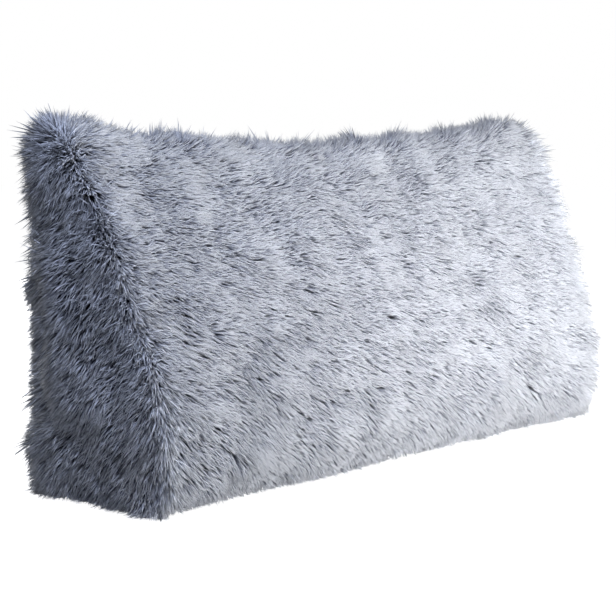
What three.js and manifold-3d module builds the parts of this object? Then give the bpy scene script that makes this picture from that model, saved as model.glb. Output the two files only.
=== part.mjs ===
// A long wedge-shaped backrest pillow, covered all over in cool grey long-haired plush.
// The cover and its filling are one soft solid. Its surface lies where the pile ends, with the pile's tufts
// in it, and pointed locks of pile stand out along its end seams, its ridge and its foot.
// Millimetres, +Z up. The length runs along X, the slope faces -Y and the upright back faces +Y.
// The origin is on the floor, below the middle of the pillow.

import * as THREE from 'three';
import { mergeVertices } from 'three/addons/utils/BufferGeometryUtils.js';
import Module from 'manifold-3d';

// Overall size, over the tips of the locks
const LENGTH = 1025;
const DEPTH = 290;
const HEIGHT = 500;

// How the filled cover stands and how its seams pull
const SEAM_RADIUS = 36; // the rounding where an end panel meets the long panels
const RIDGE_DIP = 38; // how far the ridge sinks between its two ears
const RIDGE_SKEW = 0.4; // how much deeper it sinks towards the left ear than towards the right one
const SLOPE_CROWN = 10; // how far the slope swells in the middle of the length
const BACK_CROWN = 8;
const END_CROWN = 16; // how far an end panel swells in its middle
const END_PULL = 9; // how far an end seam pulls in between the floor and the ear
const END_LEAN = 28; // how far an end panel leans out from the floor to the ear
const END_MIDDLE = { back: 25, up: 185 }; // the middle of an end panel

// The end panel's outline, from the front of the base up the slope, over the ridge and down the back
const OUTLINE = [
  { back: -96, up: 0 },
  { back: -123, up: 20 },
  { back: -142, up: 70 },
  { back: -132, up: 158 },
  { back: -87, up: 278 },
  { back: -28, up: 395 },
  { back: 8, up: 455, shoulder: true },
  { back: 28, up: 481 },
  { back: 52, up: 491 },
  { back: 75, up: 482 },
  { back: 93, up: 452, shoulder: true },
  { back: 105, up: 380 },
  { back: 116, up: 245 },
  { back: 133, up: 90 },
  { back: 134, up: 20 },
  { back: 121, up: 0 },
];

// The flat face that the pillow stands on. Its sides are drawn in a little, so that its four corners carry it.
const FOOT = { front: -90, back: 113, end: 436, drawnIn: 3 };
const FOOT_RISE = 3; // the surface is pressed flat up to this height

// How finely the surface is divided, and how far its points stray from an even grid, as a share of a step
const STEPS = { along: 46, across: 8, up: 22 };
const STRAY = 0.3;

// The pile's lumps: waves that run through the pillow in spread-out directions, with single tufts over them
const LUMPS = { waves: 11, height: 2.4, longest: 140, shortest: 70 };
const TUFT_HEIGHT = 2.2; // the most that a single tuft of the surface rises or sinks
const CALM_HEIGHT = 26; // the lumps grow up to this height from the floor
const GOLDEN_ANGLE = Math.PI * (3 - Math.sqrt(5));

// The locks of pile: three-sided, rooted in the pillow and bent the way that the nap lies
const LOCK = { wide: 28, thick: 17, length: 35, rooted: 24, uneven: 0.2 };
const LOCK_REACH = 8; // how far the locks stand out past the ends
const LOCK_DROOP = 10; // how far a lock's tip lies over towards the nap
const LOCK_FAN = 0.35; // how far neighbouring locks point apart
const LOCK_FLOOR_GAP = 5; // the locks over the floor end this high or higher
const NAP = new THREE.Vector3(0.5, -0.1, -0.8); // the pile is brushed along the length and hangs down

const PLUSH = new THREE.MeshStandardMaterial({ color: 0xa9adba, roughness: 0.95, metalness: 0 });
const NEARLY_ONE = 0.999999; // a grid point beyond this lies on the cube's edge
const SEED = 7;

const wasm = await Module();
wasm.setup();
THREE.MathUtils.seededRandom(SEED);

// The outline as one smooth curve, with the shares of its length at which the ridge's shoulders lie
const outlineCurve = new THREE.SplineCurve(OUTLINE.map((row) => new THREE.Vector2(row.back, row.up)));
const shoulders = findShoulders();

function findShoulders() {
  const stepsPerRow = 20;
  const lengths = outlineCurve.getLengths(stepsPerRow * (OUTLINE.length - 1));
  const total = lengths[lengths.length - 1];
  const rows = OUTLINE.flatMap((row, index) => (row.shoulder ? [index] : []));
  return rows.map((index) => lengths[index * stepsPerRow] / total);
}

// A point of the outline. across runs from -1 at the front to 1 at the back, and up from -1 at the base to 1
// at the ridge.
function outlinePoint(across, up) {
  const [front, rear] = shoulders;
  const { lerp } = THREE.MathUtils;
  if (across <= -NEARLY_ONE) return outlineCurve.getPointAt(lerp(0, front, (up + 1) / 2));
  if (up >= NEARLY_ONE) return outlineCurve.getPointAt(lerp(front, rear, (across + 1) / 2));
  if (across >= NEARLY_ONE) return outlineCurve.getPointAt(lerp(rear, 1, (1 - up) / 2));
  return outlineCurve.getPointAt(0).lerp(outlineCurve.getPointAt(1), (across + 1) / 2);
}

// Where a point lies round the seam's quarter circle: its distance to the end plane, and how far it is drawn
// in. distance is measured over the surface from the rounding's middle, and reach is the panel's half width.
function roundSeam(distance, onEndPanel, reach) {
  const halfArc = (SEAM_RADIUS * Math.PI) / 4;
  const turn = Math.PI / 4 + (onEndPanel ? 1 : -1) * (distance / SEAM_RADIUS);
  const beyond = distance - halfArc;
  if (beyond > 0 && !onEndPanel) return { fromEnd: SEAM_RADIUS + beyond, inset: 0, swell: 0 };
  if (beyond > 0) {
    const share = beyond / (reach - halfArc);
    const swell = Math.sin((share * Math.PI) / 2) ** 2;
    return { fromEnd: 0, inset: SEAM_RADIUS + share * (reach - SEAM_RADIUS), swell };
  }
  return { fromEnd: SEAM_RADIUS * (1 - Math.sin(turn)), inset: SEAM_RADIUS * (1 - Math.cos(turn)), swell: 0 };
}

// A point of the smooth form, from its place on the surface of a cube that runs from -1 to 1
function formPoint(along, across, up) {
  const level = Math.max(Math.abs(across), Math.abs(up), 1 - NEARLY_ONE);
  const rim = outlinePoint(across / level, up / level);
  const inward = new THREE.Vector2(END_MIDDLE.back, END_MIDDLE.up).sub(rim);
  const reach = inward.length();
  const onEndPanel = level < NEARLY_ONE;
  const halfLength = (LENGTH - END_LEAN) / 2 - LOCK_REACH;
  const halfRun = halfLength - SEAM_RADIUS + (SEAM_RADIUS * Math.PI) / 4;
  const distance = onEndPanel ? (1 - level) * reach : (1 - Math.abs(along)) * halfRun;
  const seam = roundSeam(distance, onEndPanel, reach);
  const section = rim.addScaledVector(inward, seam.inset / reach);
  const height = THREE.MathUtils.clamp(section.y / HEIGHT, 0, 1);
  const atSeam = (1 - seam.swell) * Math.exp(-seam.fromEnd / SEAM_RADIUS);
  const pull = END_PULL * Math.sin(Math.PI * height) * atSeam;
  const lean = END_LEAN * (height - 0.5) * Math.abs(along);
  const x = halfLength - seam.fromEnd + END_CROWN * seam.swell - pull + lean;
  return settle(new THREE.Vector3(Math.sign(along) * x, section.x, section.y));
}

// The filling's swell and the ridge's dip, which are largest in the middle of the length
function settle(point) {
  const aside = THREE.MathUtils.clamp(point.x / (LENGTH / 2), -1, 1);
  const middling = 1 - aside ** 2;
  const height = point.z / HEIGHT;
  const belly = Math.sin(Math.PI * Math.min(1, height)) * middling;
  const front = THREE.MathUtils.clamp((END_MIDDLE.back - point.y) / END_MIDDLE.back, -1, 1);
  point.y -= belly * (front > 0 ? SLOPE_CROWN * front : BACK_CROWN * front);
  point.z -= RIDGE_DIP * middling * (1 - RIDGE_SKEW * aside) * height ** 2;
  return point;
}

// A chance value from -1 to 1, which is the same in each run
function uneven() {
  return 2 * THREE.MathUtils.seededRandom() - 1;
}

// The lumps' waves: their directions are spread evenly over a sphere, and their lengths are mixed
const waves = Array.from({ length: LUMPS.waves }, (_, index) => {
  const tilt = 1 - (2 * index + 1) / LUMPS.waves;
  const turn = index * GOLDEN_ANGLE;
  const flat = Math.sqrt(1 - tilt ** 2);
  const direction = new THREE.Vector3(flat * Math.cos(turn), flat * Math.sin(turn), tilt);
  return { direction, length: THREE.MathUtils.lerp(LUMPS.shortest, LUMPS.longest, (uneven() + 1) / 2) };
});

// How far the pile's surface stands out at a point
function lumpAt(point) {
  const heights = waves.map((wave) => Math.sin((2 * Math.PI * point.dot(wave.direction)) / wave.length));
  return (LUMPS.height * heights.reduce((sum, height) => sum + height)) / Math.sqrt(LUMPS.waves / 2);
}

// A geometry with its corners merged, so that it is one closed surface
function closed(geometry) {
  geometry.deleteAttribute('normal');
  geometry.deleteAttribute('uv');
  return mergeVertices(geometry, 1 - NEARLY_ONE);
}

// The cube's grid laid over the smooth form, with the rows that its points belong to. A point strays only
// along the faces and edges that it lies on.
function layGrid() {
  const body = closed(new THREE.BoxGeometry(2, 2, 2, STEPS.along, STEPS.across, STEPS.up));
  const place = body.getAttribute('position');
  const steps = [STEPS.along, STEPS.across, STEPS.up];
  const rows = [];
  for (let i = 0; i < place.count; i++) {
    const even = [place.getX(i), place.getY(i), place.getZ(i)];
    rows.push(even.map((value, axis) => Math.round(((value + 1) / 2) * steps[axis])));
    const strayed = even.map((value, axis) => {
      const step = Math.abs(value) < NEARLY_ONE ? 2 / steps[axis] : 0;
      return value + STRAY * step * uneven();
    });
    place.setXYZ(i, ...formPoint(...strayed));
  }
  body.computeVertexNormals();
  return { body, rows };
}

// Whether a grid point carries a lock: those on the end seams do, and a staggered row along each long rim
function onRim([along, across, up]) {
  const onEnd = along === 0 || along === STEPS.along;
  const onLongPanel = across === 0 || across === STEPS.across || up === STEPS.up;
  if (onEnd) return onLongPanel && up > 0;
  const stagger = along % 2;
  if (up === STEPS.up) return across === STEPS.across / 2 - stagger;
  return onLongPanel && up === 1 + stagger;
}

// Brings a point down to the floor, within the foot's outline
function pressFlat(point) {
  const { clamp } = THREE.MathUtils;
  const halfAcross = (FOOT.back - FOOT.front) / 2;
  const middle = FOOT.front + halfAcross;
  const along = clamp(point.x / FOOT.end, -1, 1);
  const across = clamp((point.y - middle) / halfAcross, -1, 1);
  const end = FOOT.end - FOOT.drawnIn * (1 - across ** 2);
  const side = halfAcross - FOOT.drawnIn * (1 - along ** 2);
  point.set(clamp(point.x, -end, end), middle + clamp(point.y - middle, -side, side), 0);
}

// The pillow's body: the form raised into lumps and tufts, on a flat base, with the roots of its locks
function makeBody() {
  const { body, rows } = layGrid();
  const place = body.getAttribute('position');
  const normals = body.getAttribute('normal');
  const roots = [];
  for (let i = 0; i < place.count; i++) {
    const point = new THREE.Vector3().fromBufferAttribute(place, i);
    const outward = new THREE.Vector3().fromBufferAttribute(normals, i);
    const calm = THREE.MathUtils.smoothstep(point.z, 0, CALM_HEIGHT);
    const rise = outward.clone().multiplyScalar(lumpAt(point) + TUFT_HEIGHT * uneven());
    point.add(rise.multiply(new THREE.Vector3((1 + calm) / 2, (1 + calm) / 2, calm)));
    if (point.z < FOOT_RISE) pressFlat(point);
    place.setXYZ(i, point.x, point.y, point.z);
    if (onRim(rows[i])) roots.push({ point, outward });
  }
  body.deleteAttribute('normal');
  return { body, roots };
}

function toSolid(geometry) {
  const vertProperties = new Float32Array(geometry.getAttribute('position').array);
  const triVerts = new Uint32Array(geometry.index.array);
  return new wasm.Manifold(new wasm.Mesh({ numProp: 3, vertProperties, triVerts }));
}

function toGeometry(solid) {
  const mesh = solid.getMesh();
  const geometry = new THREE.BufferGeometry();
  geometry.setAttribute('position', new THREE.BufferAttribute(mesh.vertProperties, 3));
  geometry.setIndex(new THREE.BufferAttribute(mesh.triVerts, 1));
  return geometry;
}

// One pointed lock: a flattened cone, rooted below its point on the rim, whose tip lies over towards the nap
function makeLock({ point, outward }) {
  const size = 1 + LOCK.uneven * uneven();
  const fan = new THREE.Vector3(uneven(), uneven(), uneven()).multiplyScalar(LOCK_FAN);
  const direction = outward.clone().add(fan).normalize();
  const droop = NAP.clone().projectOnPlane(direction).setLength(LOCK_DROOP);
  const lock = closed(new THREE.ConeGeometry(1, LOCK.length * size, 3));
  lock.scale(LOCK.wide * size, 1, LOCK.thick * size);
  lock.rotateY(Math.PI * uneven());
  lock.translate(0, (LOCK.length * size) / 2 - LOCK.rooted, 0);
  lock.applyQuaternion(new THREE.Quaternion().setFromUnitVectors(new THREE.Vector3(0, 1, 0), direction));
  const place = lock.getAttribute('position');
  for (let i = 0; i < place.count; i++) {
    const corner = new THREE.Vector3().fromBufferAttribute(place, i);
    if (corner.dot(direction) > 0) corner.add(droop);
    corner.add(point);
    place.setXYZ(i, corner.x, corner.y, Math.max(LOCK_FLOOR_GAP, corner.z));
  }
  return toSolid(lock);
}

// Brings the pillow to its overall size exactly, with its base on the floor and its middle over the origin
function fitToSize(geometry) {
  geometry.computeBoundingBox();
  const size = geometry.boundingBox.getSize(new THREE.Vector3());
  const middle = geometry.boundingBox.getCenter(new THREE.Vector3());
  geometry.translate(-middle.x, -middle.y, -geometry.boundingBox.min.z);
  geometry.scale(LENGTH / size.x, DEPTH / size.y, HEIGHT / size.z);
  return geometry;
}

function makePillow() {
  const { body, roots } = makeBody();
  const solid = wasm.Manifold.union([toSolid(body), ...roots.map(makeLock)]);
  const geometry = fitToSize(toGeometry(solid));
  geometry.computeVertexNormals();
  const pillow = new THREE.Mesh(geometry, PLUSH);
  pillow.name = 'pillow';
  return pillow;
}

const backrest = new THREE.Group();
backrest.add(makePillow());

export default backrest;
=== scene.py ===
# %% [markdown]
# # A long-haired backrest pillow
#
# A real backrest of this kind is a wedge-shaped cover of plush, stuffed with fibre. The plush is a backing
# cloth with a dense pile of soft hairs, which stick together in pointed wisps. The scene is made the same
# way: first a stuffed cover, swelled by a cloth simulation, and then the pile, planted on it wisp by wisp.

import math

import bpy
import numpy as np
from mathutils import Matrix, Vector, bvhtree, kdtree, noise


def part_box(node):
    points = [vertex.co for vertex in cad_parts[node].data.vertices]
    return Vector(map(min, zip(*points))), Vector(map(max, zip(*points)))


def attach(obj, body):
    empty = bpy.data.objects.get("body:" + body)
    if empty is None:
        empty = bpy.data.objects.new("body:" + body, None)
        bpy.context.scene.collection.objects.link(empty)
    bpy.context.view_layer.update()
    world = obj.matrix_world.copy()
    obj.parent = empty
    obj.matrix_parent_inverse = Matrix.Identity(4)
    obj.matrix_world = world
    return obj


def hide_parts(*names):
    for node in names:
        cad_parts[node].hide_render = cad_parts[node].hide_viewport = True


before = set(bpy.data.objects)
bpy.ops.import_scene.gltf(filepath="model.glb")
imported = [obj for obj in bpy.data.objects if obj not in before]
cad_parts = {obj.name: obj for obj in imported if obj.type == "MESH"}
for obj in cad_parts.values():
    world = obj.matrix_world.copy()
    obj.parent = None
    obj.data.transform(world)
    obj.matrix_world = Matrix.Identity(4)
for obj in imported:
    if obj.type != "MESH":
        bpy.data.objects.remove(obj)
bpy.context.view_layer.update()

low, high = (np.array(corner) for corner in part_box("pillow"))
LENGTH, DEPTH, HEIGHT = high - low
print(f"pillow: {LENGTH:.3f} m long, {DEPTH:.3f} m deep, {HEIGHT:.3f} m high")

# %% [markdown]
# ## The camera
#
# A product photo shows a thing from one place only, so the camera comes first: the rest can then be judged
# through it. It could be placed by eye. Here it stands where the pillow's outline in the photo puts it: low,
# in front of the left end, and looking a little down. A long lens keeps the far end from shrinking much.

# %% Camera
CAMERA_PLACE = (-1.6436, -1.3896, 0.4361)
CAMERA_TURN = 48.41  # degrees from +Y towards +X
CAMERA_PITCH = 6.05  # degrees downwards
LENS = 88.55  # millimetres, on a sensor 36 mm wide

scene = bpy.context.scene


def add_object(name, data, place=(0, 0, 0), turn=(0, 0, 0)):
    """Puts new data into the scene as an object. turn is in degrees."""
    made = bpy.data.objects.new(name, data)
    made.location = place
    made.rotation_euler = [math.radians(angle) for angle in turn]
    scene.collection.objects.link(made)
    return made


camera_data = bpy.data.cameras.new("camera")
camera_data.lens = LENS
scene.camera = add_object("camera", camera_data, CAMERA_PLACE, (90 - CAMERA_PITCH, 0, -CAMERA_TURN))
print(f"camera {math.dist(CAMERA_PLACE, (0, 0, HEIGHT / 2)):.2f} m from the pillow's middle")

# %% [markdown]
# ## The stuffed cover
#
# The cover is flat cloth that the filling swells, so its panels bulge between the seams. It could be drawn by
# hand as a subdivided box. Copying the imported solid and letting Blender's cloth solver blow it up gives the
# right crown for less work: the copy gets even faces, sinks under the pile, and is then inflated a little.

# %% Cover: an even skin that lies under the pile
PILE_DEPTH = 0.020  # from the backing cloth to where the pile ends
SWELL = 0.005  # how far the filling is to push the cloth out
SKIN_FACE = 0.013  # the side of the skin's faces
CALM_ROUNDS = 18  # the more rounds, the softer the cover's edges
CALM_SHARE = 0.5  # of the way to the middle of its neighbours, how far a point goes in one round
BASE_PILE = 0.003  # the pile that the pillow stands on is pressed this flat


def baked_mesh(thing):
    """The mesh of an object with its modifiers in it, and leaves none on the object."""
    seen = thing.evaluated_get(bpy.context.evaluated_depsgraph_get())
    mesh = bpy.data.meshes.new_from_object(seen)
    thing.modifiers.clear()
    thing.data = mesh
    return mesh


def points_of(mesh):
    """The places of a mesh's points, one row each."""
    places = np.empty(len(mesh.vertices) * 3)
    mesh.vertices.foreach_get("co", places)
    return places.reshape(-1, 3)


def cover_arrays(mesh):
    """The cover's points, their normals and its four-sided faces."""
    places = points_of(mesh)
    normals = np.empty(places.size)
    mesh.vertex_normals.foreach_get("vector", normals)
    corners = np.empty(len(mesh.loops), dtype=int)
    mesh.loops.foreach_get("vertex_index", corners)
    return places, normals.reshape(-1, 3), corners.reshape(-1, 4)


def move_points(mesh, places):
    """Puts a mesh's points at new places."""
    mesh.vertices.foreach_set("co", places.ravel())
    mesh.update()


def make_skin():
    """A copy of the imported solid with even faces, sunk under the pile and set down on its pressed pile."""
    skin = add_object("pillow_cover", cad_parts["pillow"].data.copy())
    even = skin.modifiers.new("even faces", "REMESH")
    even.mode = "VOXEL"
    even.voxel_size = SKIN_FACE
    calm = skin.modifiers.new("calm", "SMOOTH")
    calm.factor = CALM_SHARE
    calm.iterations = CALM_ROUNDS
    sunk = skin.modifiers.new("under the pile", "DISPLACE")
    sunk.mid_level = 0
    sunk.strength = -PILE_DEPTH - SWELL
    mesh = baked_mesh(skin)
    places = points_of(mesh)
    bottom, top = places[:, 2].min(), places[:, 2].max()
    places[:, 2] = BASE_PILE + (places[:, 2] - bottom) * (top - BASE_PILE) / (top - bottom)
    move_points(mesh, places)
    return skin


skin = make_skin()
print(f"skin: {len(skin.data.polygons)} faces")

# %% [markdown]
# ### The filling
#
# The filling presses on the cloth from inside, and a panel gives way most where it is wide. A formula could
# move the points, but each panel would need its own. The cloth solver lets the pressure and the pull of the
# cloth settle it. It also draws the edges in and wrinkles the cloth, which the pile would show as bald
# creases. So of its result only the way outwards is kept, within limits and evened between neighbours.

# %% Cover: the filling swells it
PRESSURE = 0.25
SWELL_FRAMES = 20
SOLVER_STEPS = 3  # in each frame
SWELL_LIMITS = (0.6 * SWELL, 1.4 * SWELL)  # how far points may move outwards
EVEN_ROUNDS = 4  # the more rounds, the fewer wrinkles


def evened(values, faces):
    """Blends the value of each point with those round it."""
    for _ in range(EVEN_ROUNDS):
        means = np.repeat(values[faces].mean(axis=1), 4)
        values = np.bincount(faces.ravel(), means) / np.bincount(faces.ravel())
    return values


def inflate(skin):
    """Runs the cloth solver. Of its result, the way outwards is kept, within SWELL_LIMITS."""
    start, outward, faces = cover_arrays(skin.data)
    standing = skin.vertex_groups.new(name="standing")
    on_floor = np.flatnonzero(start[:, 2] < 2 * BASE_PILE)
    standing.add(on_floor.tolist(), 1.0, "REPLACE")
    cloth = skin.modifiers.new("filling", "CLOTH")
    cloth.settings.use_pressure = True
    cloth.settings.uniform_pressure_force = PRESSURE
    cloth.settings.effector_weights.gravity = 0
    cloth.settings.vertex_group_mass = "standing"
    cloth.settings.quality = SOLVER_STEPS
    for number in range(1, SWELL_FRAMES + 1):
        scene.frame_set(number)
    mesh = baked_mesh(skin)
    scene.frame_set(1)
    out = ((points_of(mesh) - start) * outward).sum(axis=1)
    out = evened(np.clip(out, *SWELL_LIMITS), faces)
    out[on_floor] = 0
    move_points(mesh, start + out[:, None] * outward)
    return out


out = inflate(skin) * 1000
print(f"the filling moved the cover {out.min():.1f} to {out.max():.1f} mm out, mean {out.mean():.1f}")

cover_mesh = skin.data
cover_mesh.shade_smooth()
print(f"cover: {len(cover_mesh.polygons)} faces")

# %% [markdown]
# ## Where the wisps grow
#
# Plush has its hairs at an even spacing. Points thrown at random would bunch and leave bald spots. The
# cover's faces are small and even, so each is split into a few fields, and one wisp grows from a chance place
# in each field. That keeps the spacing even without a visible grid. Round the seams the tips spread like a
# fan, so more wisps grow there. Under the pillow the pile is pressed flat and never seen, so few do.

# %% Roots of the wisps
SEED = 11
FIELDS = (5, 4)  # each face of the cover is split this many times each way
BACK_FIELDS = (3, 3)
BASE_FIELDS = (1, 1)
SEAM_FIELDS = (7, 6)
SEAM_BEND = 0.22  # the cloth's direction changes by more than this over a face at a seam
END_SEAM_FACING = 0.3  # the ends' seams look along the length by more than this
PANEL_FACING = 0.7  # the ends and the base look along their axis by more than this
BACK_FACING = 0.35  # and the back panel, which takes in half the ridge, by more than this

chance = np.random.default_rng(SEED)
noise.seed_set(SEED)  # Blender's noise vectors start from the clock otherwise


def unit(vectors):
    """The vectors at length 1."""
    return vectors / np.maximum(np.linalg.norm(vectors, axis=-1, keepdims=True), 1e-9)


def blend_corners(values, faces, across, up):
    """Values at the corners of faces, blended at the shares across and up of each face."""
    a, b, c, d = (values[faces[:, i]] for i in range(4))
    across, up = across[:, None], up[:, None]
    return (a * (1 - across) + b * across) * (1 - up) + (d * (1 - across) + c * across) * up


def scatter_roots(places, normals, faces, fields):
    """A root in each of the fields that the faces are split into, and the way out of the cloth there."""
    roots, outward = [], []
    columns, rows = fields
    for column in range(columns):
        for row in range(rows):
            across = (column + chance.random(len(faces))) / columns
            up = (row + chance.random(len(faces))) / rows
            roots.append(blend_corners(places, faces, across, up))
            outward.append(blend_corners(normals, faces, across, up))
    return np.concatenate(roots), unit(np.concatenate(outward))


places, normals, faces = cover_arrays(cover_mesh)
facing = unit(normals[faces].mean(axis=1))
below = facing[:, 2] < -PANEL_FACING
bent = np.linalg.norm(np.ptp(normals[faces], axis=1), axis=1) > SEAM_BEND
seam = bent & ~below & (np.abs(facing[:, 0]) > END_SEAM_FACING)
behind = ~below & ~seam & (facing[:, 1] > BACK_FACING)
plain = ~below & ~seam & ~behind
kinds = [(below, BASE_FIELDS), (seam, SEAM_FIELDS), (behind, BACK_FIELDS), (plain, FIELDS)]
scattered = [scatter_roots(places, normals, faces[kind], fields) for kind, fields in kinds]
roots, outward = (np.concatenate(parts) for parts in zip(*scattered))
print(f"faces: {below.sum()} below, {seam.sum()} at seams, {behind.sum()} behind, {plain.sum()} others")
print(f"{len(roots)} roots")

# %% [markdown]
# ## How the pile lies
#
# Hairs stand up from the cloth, hang a little by their weight, and are brushed to one side. Over the seams
# of the ends they fan out, hang straight down where the cloth is steep, and stand up where it looks up.
# Hands have ruffled the rest, which lies in swirls and has parted round a spot here and there. All this is
# one direction for each root: a brushed part, a soft wandering part from noise, a push away from the
# nearest parting, and each wisp's own disorder.

# %% Direction of each wisp
NAP = np.array((0.40, 0.10, -0.90))  # brushed along the length, and hanging
HANG = np.array((0, -0.10, -0.85))  # how the pile hangs at the ends' seams
SEAM_FACING, SEAM_REACH = 0.65, 0.35  # how much such a seam looks along the length, and how far it counts
SWIRL_SIZES = {0.075: 0.45, 0.030: 0.40}  # metres from one swirl to the next, and how strong they are
SEAM_CALM = 0.6  # by what share swirls are weaker at the ends' seams, and parted spots even more
PARTING_SPACING = 0.07  # metres from one parted spot to the next
PARTING_SIZE = 0.009  # metres from the middle of a parted spot to where it pushes most
PARTING_PUSH = 0.36  # at most
STRAY = 0.4  # how far single wisps stray from their neighbours
MOST_STRAY = 1.6  # of that, at most this much
SEAM_UPRIGHT = 0.25  # by what share wisps lie over less at the ends' seams


def wander(points, size):
    """A soft noise vector for each point. size is the distance between its swirls."""
    return np.array([noise.noise_vector(Vector(point)) for point in points / size + SEED])


def nearest_of(centres, points):
    """For each point, which of the centres is nearest to it."""
    tree = kdtree.KDTree(len(centres))
    for order, centre in enumerate(centres):
        tree.insert(centre, order)
    tree.balance()
    return np.array([tree.find(point)[1] for point in points])


def away_from_partings(points):
    """A push away from the nearest of some chance spots. It fades a little way off."""
    area = sum(face.area for face in cover_mesh.polygons)
    spots = chance.choice(points, round(area / PARTING_SPACING**2), replace=False)
    push = PARTING_PUSH * chance.random((len(spots), 1))
    nearest = nearest_of(spots, points)
    apart = (points - spots[nearest]) / PARTING_SIZE
    print(f"{len(spots)} parted spots on {area:.2f} square metres")
    return push[nearest] * apart * np.exp((1 - (apart**2).sum(axis=1, keepdims=True)) / 2)


def along_cloth(vectors, outward):
    """The part of each vector that lies along the cloth."""
    return vectors - outward * (vectors * outward).sum(axis=1, keepdims=True)


on_seam = np.clip(1 - np.abs(np.abs(outward[:, :1]) - SEAM_FACING) / SEAM_REACH, 0, 1)
hang = HANG * (1 - np.clip(outward[:, 2:], 0, 1))  # what points up stands
lie = NAP * (1 - on_seam) + hang * on_seam
for size, strength in SWIRL_SIZES.items():
    lie += (1 - SEAM_CALM * on_seam) * strength * wander(roots, size)
lie += (1 - on_seam) * away_from_partings(roots)
lie += STRAY * np.clip(chance.normal(size=roots.shape), -MOST_STRAY, MOST_STRAY)
lie = (1 - SEAM_UPRIGHT * on_seam) * along_cloth(lie, outward)
print(f"wisps lie over by {np.linalg.norm(lie, axis=1).mean():.2f} of their upright part on average")

# %% [markdown]
# ## The wisps
#
# Hair can be made of curves, but a model that others reuse needs a mesh. One wisp stands for a few dozen
# hairs: a thin spindle from a point in the backing, over three corners at its thickest place, to a pointed
# tip. That is only six triangles, so there can be very many. Each is just long enough to reach the packed
# solid's surface, and a little further at the ends' seams, where the pile bristles.

# %% Wisps: their length
LEAN = 0.45  # how far a wisp leans over from its root, as a share of its direction along the cloth
BEND = 0.40  # how much further its outer part leans
BELLY = 0.55  # the share of its length at which a wisp is thickest
PROUD = 1.15  # how far the pile reaches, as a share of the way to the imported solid's surface
SEAM_PROUD = 0.22  # and how much further at the ends' seams, most of all in front and on top
MOST_SLANT = 1.7  # near an edge the way out is longer than the shortest way, by up to this share
SHORTEST, LONGEST = 0.012, 0.062  # metres
UNEVEN_LENGTH = 0.15


def depth_under(solid, points, directions):
    """How far it is from each point, in its direction, to the surface of a solid."""
    corners = [v.co for v in solid.vertices]
    tree = bvhtree.BVHTree.FromPolygons(corners, [tuple(f.vertices) for f in solid.polygons])
    depths = []
    for point, direction in zip(map(Vector, points), map(Vector, directions)):
        shortest = tree.find_nearest(point)[3]
        straight = tree.ray_cast(point, direction)[3] or shortest
        depths.append(min(straight, MOST_SLANT * shortest))
    return np.array(depths)[:, None]


def grow(depth):
    """The thickest place and the tip of each wisp."""
    first = unit(outward + LEAN * lie)
    second = unit(outward + (LEAN + BEND) * lie)
    upright = ((BELLY * first + (1 - BELLY) * second) * outward).sum(axis=1, keepdims=True)
    uneven = 1 + UNEVEN_LENGTH * chance.uniform(-1, 1, depth.shape)
    shown = (1 - outward[:, 1:2]) / 2 + np.maximum(0, outward[:, 2:])
    proud = PROUD + SEAM_PROUD * on_seam * shown
    length = np.clip(proud * depth / upright, SHORTEST, LONGEST) * uneven
    belly = roots + BELLY * length * first
    measured = length * 1000
    print(f"wisps: {measured.min():.0f} to {measured.max():.0f} mm, mean {measured.mean():.0f} mm")
    return belly, belly + (1 - BELLY) * length * second


depth = depth_under(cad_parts["pillow"].data, roots, outward)
measured = depth * 1000
print(f"roots lie {measured.min():.0f} to {measured.max():.0f} mm deep, mean {measured.mean():.1f} mm")
belly, tip = grow(depth)

# %% [markdown]
# ### Tufts and locks
#
# Hairs cling to their neighbours, which leaves the dark gaps that show on real plush. One could pinch them
# by hand, with the comb of Blender's hair tools. With so many it is less work to choose some wisps by chance
# and to draw the others towards the nearest of them: once for wide tufts, and once for small locks. Then
# the floor presses the lowest pile outwards, and wisps that stand out too far are shortened.

# %% Wisps: tufts and locks, and the floor
# How many wisps a bunch has, and how far its tips and its thickest places are drawn together, at most
TUFTS = (60, 0.15, 0.05)
LOCKS = (4, 0.32, 0.08)
SEAM_FREEDOM = 0.5  # at the ends' seams, where tips spread, bunches hold less by up to this share
FLOOR_GAPS = (0.0006, 0.0060)  # from the floor to the lowest tips
OVERHANG = np.array((0.018, 0.008, 0.010))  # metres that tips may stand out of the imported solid's box


def draw_together(belly, tip, bunch):
    """Draws neighbouring wisps towards one of them. Returns also which one that is."""
    wisps_each, tip_share, belly_share = bunch
    leaders = chance.permutation(len(tip))[: len(tip) // wisps_each]
    leader = leaders[nearest_of(belly[leaders], belly)]
    hold = (chance.random(on_seam.shape) * (1 - SEAM_FREEDOM * on_seam))[leader]
    tip = tip + tip_share * hold * (tip[leader] - tip)
    belly = belly + belly_share * hold * (belly[leader] - belly)
    return belly, tip, leader


def rest_on_floor(points):
    """Lifts points off the floor and moves them outwards by as much, as pile splays where it is pressed."""
    under = np.maximum(0, chance.uniform(*FLOOR_GAPS, (len(points), 1)) - points[:, 2:])
    level = np.array((1, 1, 0))
    return points + under * (outward * level + (0, 0, 1))


def trim(belly, tip):
    """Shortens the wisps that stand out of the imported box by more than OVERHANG."""
    room = np.where(tip > roots, high + OVERHANG - roots, roots - low + OVERHANG)
    share = (room / np.maximum(np.abs(tip - roots), 1e-9)).min(axis=1, keepdims=True)
    share = np.minimum(1, share)
    return roots + share * (belly - roots), roots + share * (tip - roots)


belly, tip, tuft_of = draw_together(belly, tip, TUFTS)
belly, tip, lock_of = draw_together(belly, tip, LOCKS)
belly, tip = trim(rest_on_floor(belly), rest_on_floor(tip))
print(f"tips reach {tip.min(axis=0).round(3)} to {tip.max(axis=0).round(3)}")

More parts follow.
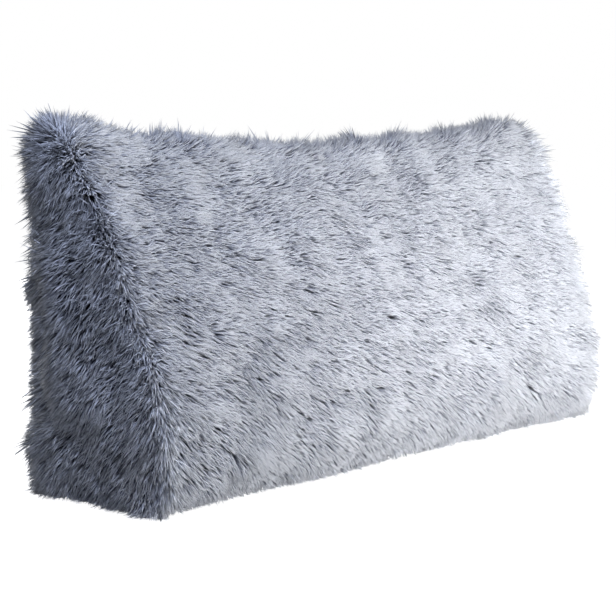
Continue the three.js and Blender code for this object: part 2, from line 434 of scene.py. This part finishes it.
# %% [markdown]
# ### From numbers to meshes
#
# An object for each wisp would take Blender minutes, so all the wisps of a panel make one mesh, and numpy
# writes its points and triangles in one go. What the material needs to know is stored with them: how far
# along and across its wisp each corner is, and the wisp's painted light and shade. A flat map with a cell for
# each wisp is there so that the finish can be baked for other programs.

# %% Wisps: painted light and shade for each
LIGHT_AND_SHADE_CURVE = 0.5  # below 1, most wisps are painted rather dark or rather light, with few between
OWN_LIGHT_AND_SHADE, SHARED_LIGHT_AND_SHADE = 0.7, 0.15  # how much of a wisp's painted light and shade is its own, and its lock's or its tuft's
SLOPE_LIGHT_AND_SHADE = 0.05  # on the slope, painted light and shade is this share as strong as at the ends, where light rakes

# Each wisp is painted lighter or darker at random, as painted shade in the gaps and painted light on lit
# tips. This is strongest where the cloth looks along the length, at the ends and their seams, where light
# rakes.
own_light_and_shade = chance.beta(LIGHT_AND_SHADE_CURVE, LIGHT_AND_SHADE_CURVE, len(roots))
light_and_shade = OWN_LIGHT_AND_SHADE * own_light_and_shade + SHARED_LIGHT_AND_SHADE * own_light_and_shade[lock_of] + SHARED_LIGHT_AND_SHADE * own_light_and_shade[tuft_of]
contrast = np.clip(np.abs(outward[:, 0]) / SEAM_FACING, SLOPE_LIGHT_AND_SHADE, 1)
light_and_shade = 0.5 + contrast * (light_and_shade - 0.5)
print(f"tones from {light_and_shade.min():.2f} to {light_and_shade.max():.2f}, mean {light_and_shade.mean():.2f}")

# %% Wisps: their meshes
WISP_RADIUS = 0.0009
SEAM_GROWTH = 0.3  # how much thicker wisps are at the ends' seams, where their tips spread
ROOT_DEPTH = 0.002  # a wisp starts this far inside the backing
SIDES = 3
CELL_GAP = 0.1  # the share of a wisp's cell in the flat map that stays free

# Each side is two triangles: root and ring, then ring and tip. across and along say where their corners are.
side_corners = []
for i in range(SIDES):
    here, there, point = 1 + i, 1 + (i + 1) % SIDES, 1 + SIDES
    middle = i + 0.5
    side_corners += [(0, middle, 0), (there, i + 1, BELLY), (here, i, BELLY)]
    side_corners += [(here, i, BELLY), (there, i + 1, BELLY), (point, middle, 1)]
corner_point, corner_across, corner_along = np.array(side_corners).T
corner_across = corner_across / SIDES
print(f"a wisp has {len(side_corners) // 3} triangles")


def spindles(chosen):
    """The points of the chosen wisps: for each a root, a ring of SIDES corners and a tip."""
    root, middle, end = roots[chosen] - ROOT_DEPTH * outward[chosen], belly[chosen], tip[chosen]
    axis = unit(end - root)
    side = unit(np.cross(axis, chance.normal(size=axis.shape)))
    other = np.cross(axis, side)
    angles = 2 * math.pi * np.arange(SIDES) / SIDES
    radius = WISP_RADIUS * (1 + SEAM_GROWTH * on_seam[chosen])
    ring = [middle + radius * (math.cos(a) * side + math.sin(a) * other) for a in angles]
    points = np.stack([root, *ring, end], axis=1)
    points[..., 2] = np.maximum(points[..., 2], 0)
    return points


def wisp_mesh(name, chosen):
    """One mesh of the chosen wisps, with what the material needs to know and a flat map for baking."""
    count = len(chosen)
    points = spindles(chosen)
    corners = corner_point[None] + points.shape[1] * np.arange(count)[:, None]
    mesh = bpy.data.meshes.new(name)
    mesh.vertices.add(points.size // 3)
    mesh.vertices.foreach_set("co", points.ravel())
    mesh.loops.add(corners.size)
    mesh.loops.foreach_set("vertex_index", corners.astype(int).ravel())
    mesh.polygons.add(corners.size // 3)
    mesh.polygons.foreach_set("loop_start", np.arange(0, corners.size, 3))
    mesh.update(calc_edges=True)
    mesh.shade_smooth()

    facts = {"along": corner_along, "across": corner_across}
    for fact, values in facts.items():
        mesh.attributes.new(fact, "FLOAT", "CORNER").data.foreach_set("value", np.tile(values, count))
    # the painted light and shade of each wisp, which the material reads
    own = np.repeat(light_and_shade[chosen], points.shape[1])
    mesh.attributes.new("light_and_shade", "FLOAT", "POINT").data.foreach_set("value", own)

    cells = math.ceil(math.sqrt(count))  # the flat map is a square of this many cells each way
    row, column = np.divmod(np.arange(count), cells)
    inside = CELL_GAP / 2 + (1 - CELL_GAP) * np.stack([corner_across, corner_along], axis=1)
    flat = (np.stack([column, row], axis=1)[:, None] + inside[None]) / cells
    mesh.uv_layers.new(name="OFBake").data.foreach_set("uv", flat.ravel())
    return mesh


# %% Wisps: the pile of each panel
MOST_WISPS = 33_000  # keeps a piece under 200,000 triangles

panels = {
    "left_end": outward[:, 0] < -PANEL_FACING,
    "right_end": outward[:, 0] > PANEL_FACING,
    "base": outward[:, 2] < -PANEL_FACING,
}
taken = np.logical_or.reduce(list(panels.values()))
panels["back"] = ~taken & (outward[:, 1] > BACK_FACING)
panels["slope"] = ~taken & ~panels["back"]

pile = []
for panel, belongs in panels.items():
    members = np.flatnonzero(belongs)
    members = members[np.argsort(roots[members, 0])]
    count = math.ceil(len(members) / MOST_WISPS)
    for number, part in enumerate(np.array_split(members, count), 1):
        name = f"pile_{panel}_{number}" if count > 1 else f"pile_{panel}"
        pile.append(add_object(name, wisp_mesh(name, part)))
        print(f"{name}: {len(part)} wisps, {len(pile[-1].data.polygons)} triangles")
print(f"{sum(len(piece.data.polygons) for piece in pile)} triangles of pile")

# %% [markdown]
# ## What the plush is made of
#
# The hairs are cool grey, paler and silkier at the tip, and duller near the backing. Towards the root they
# are painted nearly black, partly their own colour and partly painted shade deep in the pile, and each wisp
# has its painted light and shade. Pictures wrapped round the model could carry all that, but nodes stay sharp
# at any distance. Two effects are used by the hairs and by the backing cloth alike, so each is a node group
# with its own knobs. Two helpers keep the making of nodes and groups short.

# %% Nodes: two helpers
def add_node(tree, kind, inputs=(), **settings):
    """Adds a shader node. inputs holds values, or outputs of other nodes, for its sockets."""
    node = tree.nodes.new(kind)
    for setting, value in settings.items():
        setattr(node, setting, value)
    for socket, value in dict(inputs).items():
        if isinstance(value, bpy.types.NodeSocket):
            tree.links.new(value, node.inputs[socket])
        else:
            node.inputs[socket].default_value = value
    return node


def new_group(name, knobs, results):
    """An empty shader node group with its knobs, at their usual values, and its results."""
    group = bpy.data.node_groups.new(name, "ShaderNodeTree")
    for knob, value in knobs.items():
        socket = group.interface.new_socket(knob, in_out="INPUT", socket_type="NodeSocketFloat")
        socket.default_value = value
    for result in results:
        group.interface.new_socket(result, in_out="OUTPUT", socket_type="NodeSocketFloat")
    given = group.nodes.new("NodeGroupInput").outputs
    output = group.nodes.new("NodeGroupOutput").inputs
    return group, given, output


# %% [markdown]
# ### Soft patches
#
# Dye, dust and the play of light make plush lighter here and darker there, over a few centimetres. One could
# paint that. A noise texture does it without a brush, and the group turns it into a tone to multiply by.

# %% Node group: soft patches of tone
NOISE_RANGE = {"From Min": 0.3, "From Max": 0.7}  # where nearly all values of a noise texture lie


def make_patches_group():
    """A tone round 1 that wanders softly over the pillow, by up to Strength either way."""
    group, given, output = new_group("soft patches", {"Size": 0.06, "Strength": 0.1}, ["Tone"])
    place = add_node(group, "ShaderNodeTexCoord").outputs["Object"]
    finer = add_node(group, "ShaderNodeMath", {0: 1.0, 1: given["Size"]}, operation="DIVIDE")
    cloud = add_node(
        group, "ShaderNodeTexNoise", {"Vector": place, "Scale": finer.outputs["Value"], "Detail": 2.0}
    )
    darker = add_node(group, "ShaderNodeMath", {0: 1.0, 1: given["Strength"]}, operation="SUBTRACT")
    lighter = add_node(group, "ShaderNodeMath", {0: 1.0, 1: given["Strength"]}, operation="ADD")
    tone = add_node(
        group,
        "ShaderNodeMapRange",
        {
            "Value": cloud.outputs["Fac"],
            "To Min": darker.outputs["Value"],
            "To Max": lighter.outputs["Value"],
            **NOISE_RANGE,
        },
    )
    group.links.new(tone.outputs["Result"], output["Tone"])
    return group


soft_patches = make_patches_group()
print(f"group {soft_patches.name}: {len(soft_patches.nodes)} nodes")

# %% [markdown]
# ### Fine lines
#
# A wisp is many hairs and a knit is many ribs, so both have fine lines that run one way. Noise gives them
# too, once it is squeezed: it changes quickly across the fibre and slowly along it.

# %% Node group: fine lines along the fibre
def make_lines_group():
    """A mask from 0 to 1 in thin lines that run along. Own gives each wisp or place lines of its own."""
    knobs = {"Across": 0.0, "Along": 0.0, "Own": 0.0, "Lines": 8.0}
    group, given, output = new_group("fine lines", knobs, ["Line"])
    thin = add_node(group, "ShaderNodeMath", {0: given["Across"], 1: given["Lines"]}, operation="MULTIPLY")
    place = add_node(
        group, "ShaderNodeCombineXYZ", {"X": thin.outputs["Value"], "Y": given["Along"], "Z": given["Own"]}
    )
    grain = add_node(
        group, "ShaderNodeTexNoise", {"Vector": place.outputs["Vector"], "Scale": 1.0, "Detail": 2.0}
    )
    line = add_node(group, "ShaderNodeMapRange", {"Value": grain.outputs["Fac"], **NOISE_RANGE})
    group.links.new(line.outputs["Result"], output["Line"])
    return group


fine_lines = make_lines_group()
print(f"group {fine_lines.name}: {len(fine_lines.nodes)} nodes")

# %% [markdown]
# ### The pile
#
# A wisp's colour goes from root to tip by the value stored along it: nearly black at the root, partly painted
# shade deep in the pile, and pale grey at the tip. On top come the lines of its single hairs, the wisp's
# painted light and shade, and the patches. The painted light and shade is strongest at the ends, where light
# rakes across the pile, lighting tips and leaving gaps in shade. The lines also raise a faint bump. Long soft
# fibre has a sheen, a weak glow at grazing angles. It is the same all over, so it is set on the shader
# itself.

# %% Material: the pile
# the root colour is nearly black, partly the hair's own darker root and partly painted shade deep in the pile
ROOT_COLOR_AND_SHADE = (0.06, 0.064, 0.09, 1)
MIDDLE_COLOR = (0.46, 0.473, 0.53, 1)
TIP_COLOR = (0.81, 0.82, 0.855, 1)
WISP_LIGHT_AND_SHADE_RANGE = (0.10, 1.25)  # painted light and shade: the darkest and the lightest wisp
HAIR_TONES = (0.9, 1.08)  # the darkest and the lightest hair of a wisp
HAIR_LINES = 9.0  # round a wisp
HAIR_DEPTH = 0.0001  # metres, the height of the bump
LINES_APART = 97.0  # how far apart in the noise the lines of the darkest and the lightest wisp lie
ROOT_ROUGHNESS, TIP_ROUGHNESS = 0.8, 0.45
TIP_START = 0.9  # the share of a wisp's length at which it has its tip's colour


def new_material(name):
    """A material, its node tree and its Principled BSDF."""
    material = bpy.data.materials.new(name)
    material.use_nodes = True
    return material, material.node_tree, material.node_tree.nodes["Principled BSDF"]


def multiply(tree, first, second):
    """The output of a node that multiplies two numbers."""
    return add_node(tree, "ShaderNodeMath", {0: first, 1: second}, operation="MULTIPLY").outputs["Value"]


def between(tree, value, lowest, highest):
    """The output of a node that takes a value between 0 and 1 to one between lowest and highest."""
    ends = {"Value": value, "To Min": lowest, "To Max": highest}
    return add_node(tree, "ShaderNodeMapRange", ends).outputs["Result"]


def add_ramp(tree, value, stops):
    """The output of a colour ramp with the given stops, each a place and a colour."""
    ramp = add_node(tree, "ShaderNodeValToRGB", {"Fac": value})
    elements = ramp.color_ramp.elements
    while len(elements) < len(stops):
        elements.new(0.5)
    for element, (place, color) in zip(elements, stops):
        element.position = place
        element.color = color
    return ramp.outputs["Color"]


def make_pile_material():
    """Cool grey plush hair, darker at the root, partly with painted shade, and painted light and shade on
    each wisp.
    """
    material, tree, shader = new_material("plush pile")
    along, across, own = (
        add_node(tree, "ShaderNodeAttribute", attribute_name=fact).outputs["Fac"]
        for fact in ("along", "across", "light_and_shade")
    )
    patches = add_node(tree, "ShaderNodeGroup", {"Size": 0.05, "Strength": 0.08}, node_tree=soft_patches)
    knobs = {"Across": across, "Along": along, "Own": multiply(tree, own, LINES_APART), "Lines": HAIR_LINES}
    line = add_node(tree, "ShaderNodeGroup", knobs, node_tree=fine_lines).outputs["Line"]

    # darker towards the root: the hair's own colour, and painted shade deep in the pile
    ramp_with_painted_shade = add_ramp(tree, along, [(0.0, ROOT_COLOR_AND_SHADE), (BELLY, MIDDLE_COLOR), (TIP_START, TIP_COLOR)])
    # each wisp made lighter or darker by its painted light and shade
    tone = multiply(tree, between(tree, own, *WISP_LIGHT_AND_SHADE_RANGE), patches.outputs["Tone"])
    tone = multiply(tree, tone, between(tree, line, *HAIR_TONES))
    color = add_node(tree, "ShaderNodeHueSaturation", {"Value": tone, "Color": ramp_with_painted_shade})
    tree.links.new(color.outputs["Color"], shader.inputs["Base Color"])
    tree.links.new(between(tree, along, ROOT_ROUGHNESS, TIP_ROUGHNESS), shader.inputs["Roughness"])
    bump = add_node(tree, "ShaderNodeBump", {"Height": line, "Distance": HAIR_DEPTH, "Strength": 0.4})
    tree.links.new(bump.outputs["Normal"], shader.inputs["Normal"])
    shader.inputs["Specular IOR Level"].default_value = 0.35
    shader.inputs["Sheen Weight"].default_value = 0.2
    shader.inputs["Sheen Roughness"].default_value = 0.4
    return material


pile_material = make_pile_material()
for piece in pile:
    piece.data.materials.append(pile_material)
print(f"{pile_material.name}: {len(pile_material.node_tree.nodes)} nodes, on {len(pile)} pieces")

# %% [markdown]
# ### The backing cloth
#
# Between the wisps, and only there, the knitted backing shows. It could be left black, but in a close view
# cloth has to look like cloth. It is dyed with the hairs, so it has the colour of their roots: nearly black,
# partly their own colour and partly painted shade deep in the pile. It is matt, and has the fine ribs of a
# knit, for which the lines run up the cloth.

# %% Material: the backing cloth
RIB = 0.0015  # metres from one rib of the knit to the next
RIB_LENGTH = 4  # ribs change along the cloth this many times slower than across it
RIB_DEPTH = 0.0005  # metres, the height of the bump
RIB_TONES = (0.75, 1.1)  # between two ribs, and on a rib
RIB_ROUGHNESS = (0.95, 0.8)


def make_backing_material():
    """The knitted cloth that holds the pile."""
    material, tree, shader = new_material("plush backing")
    place = add_node(tree, "ShaderNodeTexCoord").outputs["Object"]
    parts = add_node(tree, "ShaderNodeSeparateXYZ", {"Vector": place}).outputs
    sideways = add_node(tree, "ShaderNodeMath", {0: parts["X"], 1: parts["Y"]}, operation="ADD")
    upwards = multiply(tree, parts["Z"], 1 / (RIB_LENGTH * RIB))
    patches = add_node(tree, "ShaderNodeGroup", {"Size": 0.03, "Strength": 0.15}, node_tree=soft_patches)
    knobs = {"Across": sideways.outputs["Value"], "Along": upwards, "Lines": 1 / RIB}
    line = add_node(tree, "ShaderNodeGroup", knobs, node_tree=fine_lines).outputs["Line"]

    tone = multiply(tree, patches.outputs["Tone"], between(tree, line, *RIB_TONES))
    # nearly black: the roots' colour, partly painted shade deep in the pile
    color = add_node(tree, "ShaderNodeHueSaturation", {"Value": tone, "Color": ROOT_COLOR_AND_SHADE})
    tree.links.new(color.outputs["Color"], shader.inputs["Base Color"])
    tree.links.new(between(tree, line, *RIB_ROUGHNESS), shader.inputs["Roughness"])
    bump = add_node(tree, "ShaderNodeBump", {"Height": line, "Distance": RIB_DEPTH})
    tree.links.new(bump.outputs["Normal"], shader.inputs["Normal"])
    return material


backing_material = make_backing_material()
skin.data.materials.clear()
skin.data.materials.append(backing_material)
print(f"{backing_material.name}: {len(backing_material.node_tree.nodes)} nodes")

# %% [markdown]
# ## One soft thing
#
# Cover, filling and pile move as one, and the pillow has no joint, so every piece rides on its one body. The
# cover stands for the imported solid, which stays for collisions.

# %% What each piece rides on and replaces
for piece in [skin, *pile]:
    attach(piece, "root")
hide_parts("pillow")
print(f"{1 + len(pile)} pieces ride on the pillow's body")

# %% [markdown]
# ## The floor
#
# The photo has a white ground without a shadow. A plain white floor would show one, so this pale floor glows
# as the camera sees it, and fades into a white backdrop. Its glow lights nothing.

# %% Stage: the pale floor
FLOOR_HALF = 12  # metres
FLOOR_GLOW = 0.98
FLOOR_COLOR = (0.5, 0.5, 0.5, 1)
FLOOR_ROUGHNESS = 0.9

corners = [(-FLOOR_HALF, -FLOOR_HALF, 0), (FLOOR_HALF, -FLOOR_HALF, 0)]
corners += [(-x, -y, 0) for x, y, _ in corners]
floor_mesh = bpy.data.meshes.new("floor")
floor_mesh.from_pydata(corners, [], [(0, 1, 2, 3)])
floor = add_object("floor", floor_mesh)
floor_material, tree, shader = new_material("pale floor")
shader.inputs["Base Color"].default_value = FLOOR_COLOR
shader.inputs["Roughness"].default_value = FLOOR_ROUGHNESS
shader.inputs["Emission Color"].default_value = (1, 1, 1, 1)
seen = add_node(tree, "ShaderNodeLightPath").outputs["Is Camera Ray"]
tree.links.new(multiply(tree, seen, FLOOR_GLOW), shader.inputs["Emission Strength"])
floor_mesh.materials.append(floor_material)
print(f"floor: {2 * FLOOR_HALF} m each way")

# %% [markdown]
# ## The lamps
#
# A studio lights such a pillow softly from one side. One large lamp could do it, but the pile then looks
# flat, so each lamp has one job. The key lamp is long and stands low on the right, in front of the slope: the
# slope gets darker towards the left end, which lies in the shade, and single wisps stay crisp. A front lamp
# with a narrow beam, beside the camera, lifts the right half. An end lamp above the left end draws out its
# wisps. A wide back lamp is there for the views from behind.

# %% Light: lamps
def add_lamp(name, place, aim, size, power, color=(1, 1, 1), spread=180):
    """A lamp that looks at a point. size is its width and height, power in watts, spread in degrees."""
    lamp = bpy.data.lights.new(name, "AREA")
    lamp.shape = "RECTANGLE"
    lamp.size, lamp.size_y = size
    lamp.energy = power
    lamp.color = color
    lamp.spread = math.radians(spread)
    made = add_object(name, lamp, place)
    made.rotation_euler = (Vector(aim) - Vector(place)).to_track_quat("-Z", "Y").to_euler()
    made.visible_camera = False
    return made


COOL = (0.66, 0.75, 1.0)
FAINTLY_COOL = (0.95, 0.972, 1.0)

add_lamp("key lamp", (1.2, -2.1, 0.15), (0.05, 0, 0.2), (1.3, 0.26), 70, FAINTLY_COOL)
add_lamp("front lamp", (-1.0, -2.4, 0.5), (0.5, -0.1, -0.55), (0.5, 0.5), 9, spread=45)
add_lamp("end lamp", (-1.45, -1.2, 1.5), (-0.45, 0, 0.4), (0.5, 0.5), 29, COOL)
add_lamp("back lamp", (0.5, 2.6, 1.2), (0, 0, 0.25), (2.0, 2.0), 80)

# %% [markdown]
# ## The backdrop
#
# The world is white to the camera, as the photo's ground is. To the pillow it is a faint cool sky, which
# keeps the shade from turning black. One world does both, if the kind of ray chooses the light.

# %% Light: the backdrop
SKY_COLOR = (0.72, 0.82, 1.0, 1)
SKY_STRENGTH = 0.05

world = bpy.data.worlds.new("studio")
scene.world = world
world.use_nodes = True
tree = world.node_tree
light = tree.nodes["Background"]
light.inputs["Color"].default_value = SKY_COLOR
light.inputs["Strength"].default_value = SKY_STRENGTH
white = add_node(tree, "ShaderNodeBackground", {"Color": (1, 1, 1, 1)}).outputs["Background"]
seen = add_node(tree, "ShaderNodeLightPath").outputs["Is Camera Ray"]
both = add_node(tree, "ShaderNodeMixShader", {0: seen, 1: light.outputs["Background"], 2: white})
tree.links.new(both.outputs["Shader"], tree.nodes["World Output"].inputs["Surface"])
scene.view_settings.view_transform = "Standard"
print(f"sky at {SKY_STRENGTH}, white to the camera")

# %% [markdown]
# ## The end
#
# The pile may stand a little out of the imported solid's box.

# %% The end
bpy.context.view_layer.update()
